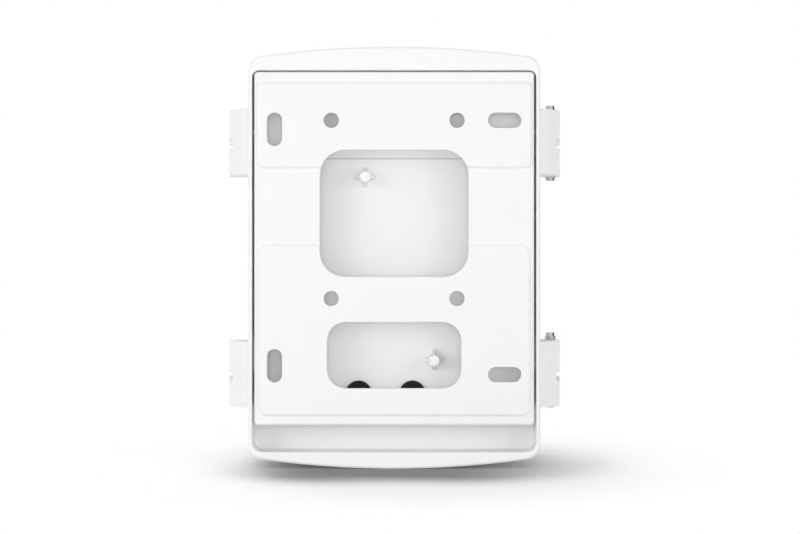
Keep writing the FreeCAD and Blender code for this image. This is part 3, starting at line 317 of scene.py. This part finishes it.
front_lip = ((15.5, 0), (15.8, 0.12), (17.8, 1.6), (18.0, 1.72), (18.0, 1.78), (15.9, 1.85))
front_rim = ((15.9, 8.2), (15.8, 8.4), (15.5, 8.5), (14.4, 8.5), (14.2, 8.4))
front_skin = ((13.7, 7.6), (9.6, 7.58), (9.4, 7.8), (8.9, 7.8), (8.7, 7.58), (4.6, 7.56),
              (4.4, 7.78), (3.9, 7.78), (3.7, 7.56), (0.8, 7.55))
middle = centre_of("front_cable_plug")
inner_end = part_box("front_cable_plug")[1][1]
front_piece = turned(
    "moulded_front_plug", (middle.x, inner_end, middle.z), (0, -1, 0), rubber,
    stations(*front_lip, *front_rim, *front_skin))
stand_in(front_piece, "front_cable_plug", "door")


# Hinge screws. Stainless screws with a hexagonal head on a collar and a washer, turned and
# rolled, with a thread at the lower end that the nut is on. Both heads are on top.

steel = Finish("stainless")
rings = steel.noise(2600, detail=2, stretch=(0.02, 0.02, 1))
blot = steel.noise(260, detail=3)
steel.surface(
    Base_Color=steel.blend(blot, (0.55, 0.55, 0.55), (0.68, 0.68, 0.67)),
    Metallic=1.0,
    Roughness=0.20 + 0.14 * blot + 0.08 * rings,
    Normal=steel.relief(rings, 0.00002))


def hexagon(across, *heights):
    """Six-sided rings: the radius is half the width across flats over the cosine of the
    angle to the nearest flat's middle. One flat faces the back."""
    radius = across / 2 / np.cos(angle % (math.pi / 3) - math.pi / 6)
    height = np.array(heights, dtype=float)[:, None]
    return radius + 0 * height, height + 0 * angle


def thread(low, high, pitch, major, depth):
    """A helix: the radius falls from major by depth with the cosine of a full turn for
    each pitch of height, and a turn of angle moves it on by one pitch."""
    rings_each_turn = 6
    height = np.arange(low, high, pitch / rings_each_turn)[:, None] + 0 * angle
    radius = major - depth * (0.5 - 0.5 * np.cos(2 * math.pi * height / pitch - angle))
    return radius, height


def knurl(low, high, outer, depth, ridges):
    """A knurled band: the radius waves by depth with that many ridges to a turn."""
    height = np.array((low, high), dtype=float)[:, None] + 0 * angle
    radius = outer - depth * (0.5 - 0.5 * np.cos(ridges * angle)) + 0 * height
    return radius, height


def chamfered(across, *pairs):
    """Six-sided rings cut back to a circle, as the turned corners of a nut are."""
    flats = hexagon(across, *[height for _, height in pairs])
    limit = np.array([radius for radius, _ in pairs], dtype=float)[:, None]
    return np.minimum(flats[0], limit), flats[1]


pin_x, pin_y = -0.110, -0.068
lug_feet = {"upper": 0.0256, "lower": -0.1344}
screw_below_foot, nut_below_foot = 0.003, 0.0028
shank = ((1.48, 9.8), (1.48, 48.25))
washer = ((3.5, 48.3), (3.7, 48.4), (3.75, 48.55), (3.75, 49.25), (3.65, 49.42), (2.6, 49.5))
collar = ((2.6, 49.78), (3.72, 49.85), (3.9, 49.9), (3.9, 50.35), (3.75, 50.58), (3.3, 50.72))
head = ((2.95, 50.8), (2.95, 52.6), (2.8, 52.82), (2.6, 52.98), (2.45, 53.06))
head_across, socket_across = 5.0, 2.5

for level, foot in lug_feet.items():
    screw = turned(
        f"turned_hinge_screw_{level}", (pin_x, pin_y, foot - screw_below_foot), (0, 0, 1),
        steel, stations((0.9, 0), (1.15, 0.08)), thread(0.3, 9.5, 0.5, 1.48, 0.26),
        stations(*shank, *washer, *collar), chamfered(head_across, *head),
        stations((2.3, 53.1), (1.65, 53.1), (1.5, 53.0)), hexagon(socket_across, 52.8, 51.5),
        stations((0.5, 51.3)))
    stand_in(screw, f"hinge_screw_{level}", "box")


# Hinge nuts. Stainless flange nuts under the lugs, hexagonal below, with a round collar
# against the lug.

nut_flats = ((2.4, 0), (2.55, 0.06), (2.75, 0.2), (2.95, 0.42), (2.95, 1.7))
nut_collar = ((3.0, 1.82), (3.65, 1.88), (3.84, 1.98), (3.9, 2.15), (3.9, 2.66), (3.8, 2.78),
              (3.5, 2.8))
nut_bore = ((1.8, 2.8), (1.56, 2.6), (1.56, 0.3), (1.85, 0))

for level, foot in lug_feet.items():
    nut = turned(
        f"pressed_hinge_nut_{level}", (pin_x, pin_y, foot - nut_below_foot), (0, 0, 1), steel,
        chamfered(head_across, *nut_flats), stations(*nut_collar, *nut_bore), pierced=True)
    stand_in(nut, f"hinge_nut_{level}", "box")


# Door screws. Stainless socket screws that stay in the door: each head lies in a sink, and
# a pressed ring on the shank keeps it from falling out.

shank = ((2.38, 7.9), (2.38, 34.65))
head_foot = ((4.3, 34.7), (4.45, 34.8))
head_face = ((4.3, 38.4), (4.1, 38.62), (3.8, 38.7), (2.6, 38.7), (2.42, 38.55))
door_socket_across = 4

for level in ("upper", "lower"):
    node = f"door_screw_{level}"
    middle = centre_of(node)
    inner_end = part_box(node)[1][1]
    screw = turned(
        f"turned_{node}", (middle.x, inner_end, middle.z), (0, -1, 0), steel,
        stations((1.7, 0), (2.0, 0.1)), thread(0.5, 7.5, 0.8, 2.38, 0.4),
        stations(*shank, *head_foot), knurl(35.1, 37.9, 4.5, 0.14, 32),
        stations(*head_face), hexagon(door_socket_across, 38.3, 36.75), stations((0.7, 36.4)))
    stand_in(screw, node, node)

dress(steel, "screw_retainer_upper", "screw_retainer_lower")


# Gear plate, its screws, the earth stud and the cable saddles. Zinc-plated steel, rolled
# along the height, with a faint blue cast.

zinc = Finish("zinc")
rolling = zinc.noise(700, detail=3, stretch=(1, 1, 0.03))
spangle = zinc.noise(60, detail=5)
zinc.surface(
    Base_Color=zinc.blend(spangle, (0.56, 0.58, 0.60), (0.70, 0.71, 0.71)),
    Metallic=1.0,
    Roughness=0.30 + 0.16 * spangle + 0.06 * rolling,
    Normal=zinc.relief(rolling, 0.00002, edge=0.0003))
dress(zinc, "gear_plate", "gear_plate_screws", "earth_stud", "cable_saddle_left",
      "cable_saddle_right", "saddle_screws", "terminal_fixing_screws")


# Terminal block. A pale grey moulded strip; its clamps and screws are brass, as are the
# washer and the nut of the earth stud.

moulded = Finish("moulded_block")
mist = moulded.noise(500, detail=3)
moulded.surface(
    Base_Color=moulded.blend(mist, (0.62, 0.63, 0.63), (0.70, 0.70, 0.69)),
    Roughness=0.38 + 0.12 * mist,
    Normal=moulded.relief(mist, 0.00002, edge=0.0004))
dress(moulded, "terminal_block")

brass = Finish("brass")
tarnish = brass.noise(320, detail=4)
turning = brass.noise(2200, detail=2, stretch=(1, 1, 0.05))
brass.surface(
    Base_Color=brass.blend(tarnish, (0.66, 0.47, 0.20), (0.83, 0.64, 0.33)),
    Metallic=1.0,
    Roughness=0.24 + 0.18 * tarnish,
    Normal=brass.relief(turning, 0.00002, edge=0.0002))
dress(brass, "terminal_clamps", "terminal_screws", "earth_nut", "earth_washer")


# Floor. A pale sheet of paper under the box, which keeps the shadow the box throws on it,
# with more shadow painted into its colour near the box, and fades into the white of the
# room further out.

def sheet(name, finish, corners):
    """A staged sheet with four corners, which isn't part of the object."""
    mesh = bpy.data.meshes.new(name)
    mesh.from_pydata(corners, [], [(0, 1, 2, 3)])
    mesh.materials.append(finish.material)
    made = bpy.data.objects.new(name, mesh)
    bpy.context.scene.collection.objects.link(made)
    return made


paper = Finish("floor_paper")
floor_level = cad_box[0].z - 0.0002
floor_reach, floor_front = 4, 2.5
sheet("floor", paper, [
    (-floor_reach, -floor_reach, floor_level), (floor_reach, -floor_reach, floor_level),
    (floor_reach, floor_front, floor_level), (-floor_reach, floor_front, floor_level)])

# How much of the sky the paper sees: it is in full shade below shade_end, and clear of it
# from there to shade_range above.
shelter_reach, shade_end, shade_range = 0.10, 0.80, 0.17
shelter = paper.node(
    "ShaderNodeAmbientOcclusion", {"samples": 16}, {"Distance": shelter_reach}, "AO")
open_sky = ((shelter - shade_end) / shade_range).held(0, 1)

# The painted shadow thins out past the box's sides, more slowly on the -x side, and
# towards the back.
floor_x, floor_y = paper.axes("XY")
left_half, right_half = 0.092, 0.100
left_way, right_way = floor_x.held(0, 1) / left_half, (0 - floor_x).held(0, 1) / right_half
beside = (1 + left_way ** 7 + right_way ** 4) ** -1
back_end, back_range, back_least = -0.19, 0.16, 0.3
behind = ((floor_y - back_end) / back_range).held(back_least, 1)
shade = (1 - open_sky.eased()) * beside * behind
clear_tone, shade_depth = 0.90, 0.66
paper_white = (0.82, 0.82, 0.82)
# Painted shadow: the paper's colour darkens by shade_depth times shade.
painted_floor_tone = paper.blend(clear_tone - shade_depth * shade, (0, 0, 0), paper_white)

# What the camera sees: paper with its painted shadow near the box, and white from
# fade_start on.
fade_start, fade_range = 0.13, 0.11
grey = paper.node("ShaderNodeBsdfDiffuse", {}, {"Color": painted_floor_tone})
glow = paper.node("ShaderNodeEmission", {}, {"Color": painted_floor_tone, "Strength": 0.42})
near = paper.node("ShaderNodeAddShader", {}, {"Shader": grey, "Shader_001": glow})
white = paper.node("ShaderNodeEmission", {}, {"Color": (1, 1, 1, 1), "Strength": 1.0})
away = paper.node("ShaderNodeVectorMath", {"operation": "DISTANCE"}, {
    "Vector": paper.place, "Vector_001": (0, -0.05, floor_level)}, "Value")
fade = ((away - fade_start) / fade_range).held(0, 1)
pale = paper.node("ShaderNodeMixShader", {}, {
    "Fac": fade.eased(), "Shader": near, "Shader_001": white})


def straight(tree):
    """1 for camera, glossy and transmission rays, and 0 for the rays that carry light."""
    path = tree.nodes.new("ShaderNodeLightPath")
    camera, glossy, clear = (
        Wire(tree, path.outputs[f"Is {kind} Ray"])
        for kind in ("Camera", "Glossy", "Transmission"))
    return (camera + glossy + clear).held(0, 1)


lit = paper.node("ShaderNodeBsdfDiffuse", {}, {"Color": (*paper_white, 1)})
shown = paper.node("ShaderNodeMixShader", {}, {
    "Fac": straight(paper.tree), "Shader": lit, "Shader_001": pale})
plug(paper.tree, paper.tree.nodes["Material Output"].inputs["Surface"], shown)


# Light. A white room, dimmer as light than as seen, with a soft lamp to each side, a small
# one by the camera, one above, and one for the door's side that the photo doesn't show.

world = bpy.data.worlds.new("room")
world.use_nodes = True
bpy.context.scene.world = world
ground = world.node_tree.nodes["Background"]
ambient = 0.52
plug(world.node_tree, ground.inputs["Strength"],
     ambient + (1 - ambient) * straight(world.node_tree))
ground.inputs["Color"].default_value = (1, 1, 1, 1)


def lamp(name, place, target, width, power):
    """A square lamp of that width, turned from its place towards a target."""
    data = bpy.data.lights.new(name, "AREA")
    data.size = width
    data.energy = power
    made = bpy.data.objects.new(name, data)
    made.visible_glossy = False
    made.location = place
    toward = Vector(target) - Vector(place)
    made.rotation_euler = toward.to_track_quat("-Z", "Y").to_euler()
    bpy.context.scene.collection.objects.link(made)


lamp("left", (1.35, 0.9, 0.1), (0, 0, -0.06), 1.0, 9.3)
lamp("right", (-1.35, 0.9, 0.1), (0, 0, -0.06), 1.0, 7.05)
lamp("front", (0.0, 1.05, -0.05), (0, 0, -0.08), 0.4, 2.2)
lamp("over", (0.0, 0.4, 1.5), (0, 0, -0.03), 1.4, 2.1)
lamp("door_side", (0.5, -1.4, 0.7), (0, 0, -0.03), 1.2, 13.0)


# Flags. Two dark cards behind the box at its sides, seen only in reflections, so that the
# bright metal keeps its contrast in a white room.

flag_aside, flag_rear, flag_front, flag_low, flag_high = 0.55, -1.1, 0.02, -0.6, 0.7

for name, side, shade in (("flag_left", 1, 0.30), ("flag_right", -1, 0.02)):
    dark = Finish(name)
    dark.surface(Base_Color=(0, 0, 0, 1), Specular_IOR_Level=0.0,
                 Emission_Color=(shade, shade, shade, 1), Emission_Strength=1.0)
    x = side * flag_aside
    card = sheet(name, dark, [(x, flag_rear, flag_low), (x, flag_front, flag_low),
                              (x, flag_front, flag_high), (x, flag_rear, flag_high)])
    for ray_kind in ("camera", "diffuse", "shadow", "transmission", "volume_scatter"):
        setattr(card, f"visible_{ray_kind}", False)


# Camera. One metre behind the wall plate's plane, level, and 3.87 mm to the right of the
# box's middle, as the photo's perspective asks.

view = bpy.data.objects.new("camera", bpy.data.cameras.new("camera"))
view.data.lens = 68.0
view.data.sensor_width = 36
view.data.clip_start = 0.01
view.location = (-0.00387, 1.0, -0.0381)
view.rotation_euler = (math.pi / 2, 0, math.pi)
bpy.context.scene.collection.objects.link(view)
bpy.context.scene.camera = view
bpy.context.scene.view_settings.view_transform = "Standard"
